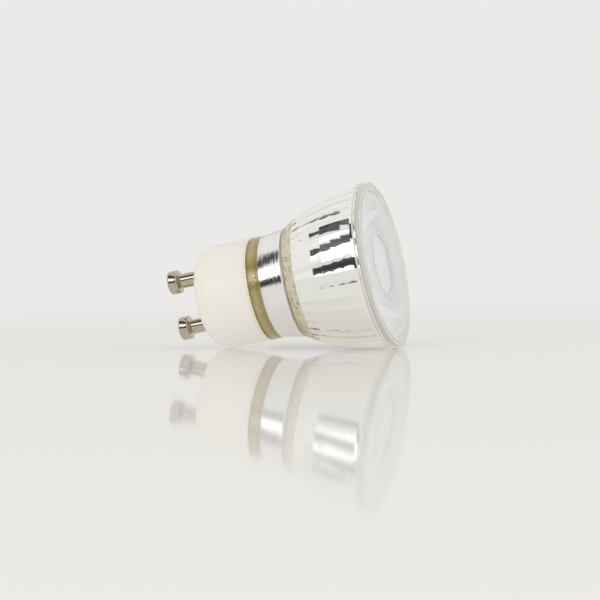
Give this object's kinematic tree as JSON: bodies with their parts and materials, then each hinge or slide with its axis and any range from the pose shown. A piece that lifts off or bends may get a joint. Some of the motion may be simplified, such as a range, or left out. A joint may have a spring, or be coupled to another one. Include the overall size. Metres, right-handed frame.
{
  "type": "reflector spotlight bulb",
  "caption": "Twist-lock reflector spotlight bulb: mirrored glass cup, clear front lens, ivory base and two headed contact pins.",
  "frame": {"origin": "centre of the front rim's face, on the lamp's axis, where the lamp stands lens down", "axes": "+Z along the lamp's axis from the lens to the contact pins, X through both pins"},
  "size_m": [0.035, 0.035, 0.0467],
  "materials": {
    "glass": "clear pressed glass with a mirrored inside",
    "lens": "clear moulded lens",
    "bond_clear": "clear cured bond line",
    "base_white": "ivory satin",
    "pin_nickel": "nickel plated, bright",
    "aluminium": "turned, bright",
    "cement": "amber cement",
    "bond": "yellowish cured bond",
    "board_white": "white solder mask",
    "board_green": "green laminate",
    "phosphor": "yellow phosphor gel",
    "insulator": "white insulating film",
    "chip_black": "black moulding",
    "can": "sleeved can",
    "ferrite": "ferrite core",
    "resistor": "flameproof coating",
    "wire_red": "insulated wire",
    "wire_black": "insulated wire",
    "wire_tin": "tinned wire"
  },
  "bodies": {
    "root": {"glass_cup": "glass", "front_lens": "lens", "lens_bond": "bond_clear", "base_shell": "base_white", "contact_pin_live": "pin_nickel", "contact_pin_neutral": "pin_nickel", "heat_sink_cup": "aluminium", "heat_sink_bond": "bond", "neck_cement": "cement", "led_board": "board_white", "led_package": "board_white", "led_phosphor": "phosphor", "insulator_disc": "insulator", "driver_board": "board_green", "input_capacitor": "can", "output_capacitor": "can", "inductor": "ferrite", "driver_chip": "chip_black", "bridge_rectifier": "chip_black", "fuse_resistor": "resistor", "lead_wire_live": "wire_tin", "lead_wire_neutral": "wire_tin", "led_wire_positive": "wire_red", "led_wire_negative": "wire_black"}
  },
  "joints": []
}
